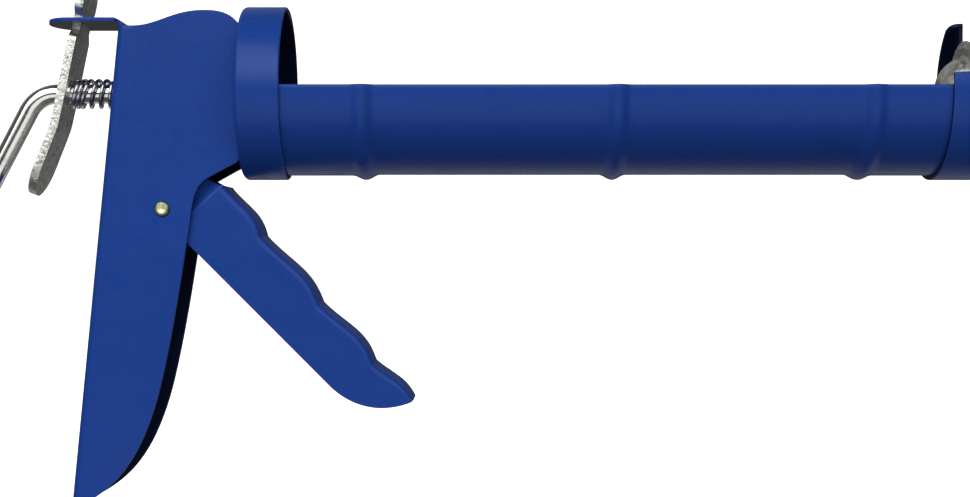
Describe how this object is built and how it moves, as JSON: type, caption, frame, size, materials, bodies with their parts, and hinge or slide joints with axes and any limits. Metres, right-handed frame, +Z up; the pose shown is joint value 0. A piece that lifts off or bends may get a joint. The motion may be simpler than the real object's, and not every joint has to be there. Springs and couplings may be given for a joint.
{
  "type": "caulking gun",
  "caption": "Half-barrel caulking gun with smooth push rod, pivoting trigger, thumb release lever and open nozzle slot.",
  "frame": {"origin": "middle of the trigger's pivot rivet, inside the hand's grip", "axes": "+X along the barrel towards the nozzle, +Z up from the grip to the barrel, +Y to the tool's left"},
  "size_m": [0.3357, 0.0566, 0.1685],
  "materials": {
    "blue_paint": "glossy baked enamel",
    "zinc_plate": "zinc plated, slightly grainy",
    "yellow_zinc": "yellow passivated zinc",
    "polished_rod": "drawn and polished",
    "hardened_steel": "oiled dark steel",
    "spring_wire": "drawn spring wire"
  },
  "bodies": {
    "frame": {"handle_shell": "blue_paint", "rear_cup": "blue_paint", "cradle": "blue_paint", "front_cap": "blue_paint", "pivot_rivet": "yellow_zinc", "spring_washer_front": "zinc_plate"},
    "trigger": {"trigger": "blue_paint", "pivot_sleeve": "zinc_plate", "pivot_spacer_left": "zinc_plate", "pivot_spacer_right": "zinc_plate"},
    "drive": {"drive_plate_rear": "hardened_steel", "drive_plate_front": "hardened_steel", "spring_washer_rear": "zinc_plate", "drive_spring": "spring_wire"},
    "plunger": {"plunger_disc": "zinc_plate", "plunger_washer": "zinc_plate"},
    "rod": {"push_rod": "polished_rod"},
    "release": {"release_lever": "zinc_plate", "release_spring": "spring_wire"}
  },
  "joints": [
    {"name": "trigger_squeeze", "type": "hinge", "parent": "frame", "child": "trigger", "pos_m": [0, 0, 0], "axis": [0, 1, 0], "range_deg": [0, 30], "stiffness_Nm_per_rad": 0.6, "springref_deg": -14.32},
    {"name": "drive_travel", "type": "slide", "parent": "frame", "child": "drive", "axis": [1, 0, 0], "range_m": [0, 0.0193], "deforming": ["drive_spring"]},
    {"name": "rod_pull", "type": "slide", "parent": "frame", "child": "plunger", "axis": [-1, 0, 0], "range_m": [0, 0.222]},
    {"name": "rod_turn", "type": "hinge", "parent": "plunger", "child": "rod", "pos_m": [0.2525, 0, 0.0381], "axis": [1, 0, 0], "continuous": true},
    {"name": "release_press", "type": "hinge", "parent": "frame", "child": "release", "pos_m": [-0.02862, 0, 0.06105], "axis": [0, -1, 0], "range_deg": [0, 7], "stiffness_Nm_per_rad": 0.5, "springref_deg": -11.46, "deforming": ["release_spring"]}
  ],
  "couplings": [
    {"joint": "drive_travel", "follows": "trigger_squeeze", "m_per_rad": 0.0366}
  ]
}
